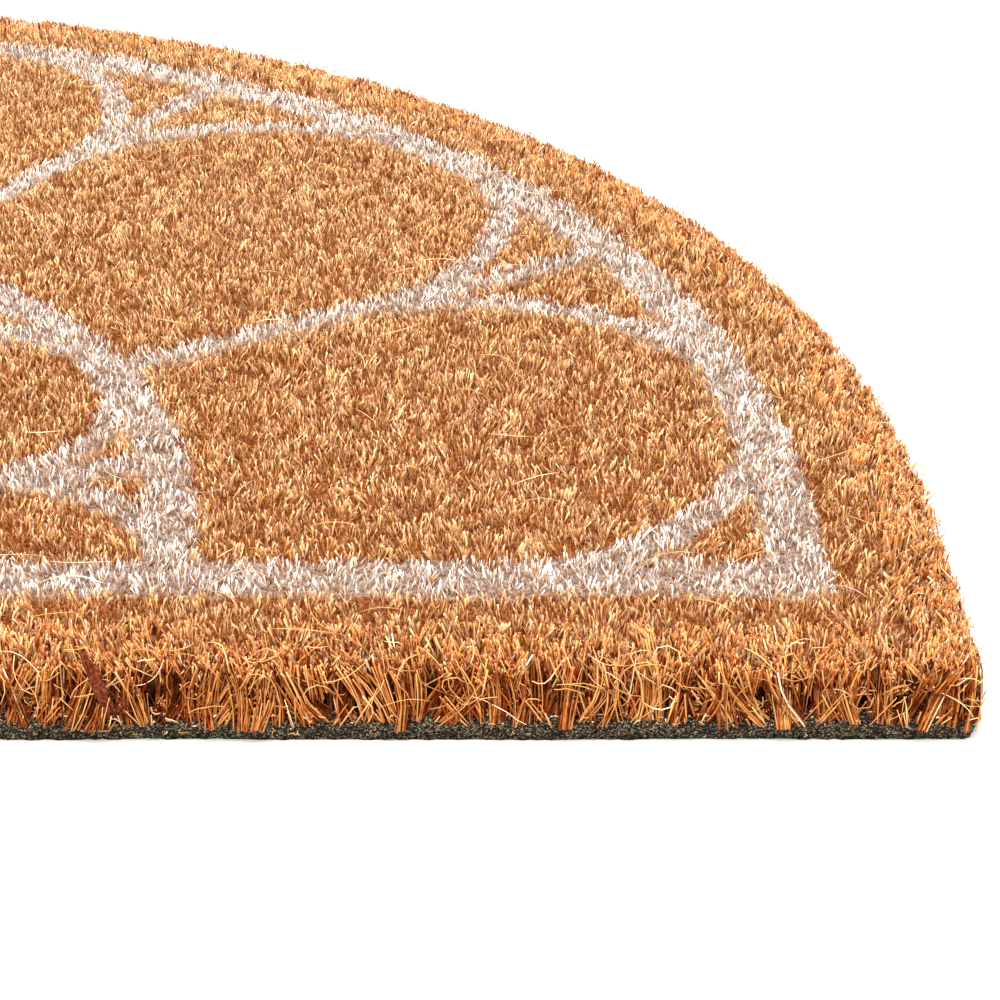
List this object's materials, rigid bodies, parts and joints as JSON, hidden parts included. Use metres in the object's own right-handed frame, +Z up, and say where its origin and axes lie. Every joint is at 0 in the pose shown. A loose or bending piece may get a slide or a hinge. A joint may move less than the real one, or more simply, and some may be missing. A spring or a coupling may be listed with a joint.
{
  "type": "half-round coir doormat",
  "caption": "Half-round doormat: a dense, level brush of coir fibre on a flat charcoal vinyl backing, with pale line work printed on the tips.",
  "frame": {"origin": "on the floor plane, under the middle of the mat's bounding box", "axes": "+Z up out of the pile, -Y towards the straight front edge, +X along it to the right"},
  "size_m": [0.7018, 0.4108, 0.0192],
  "materials": {
    "vinyl_backing": "matt foamed vinyl, charcoal and granular, with a knife-cut edge",
    "coir_pile": "sheared coir fibre, warm orange-brown, with pale grey-white pigment on the tips of the line work"
  },
  "bodies": {
    "root": {"vinyl_backing": "vinyl_backing", "coir_pile": "coir_pile"}
  },
  "joints": []
}
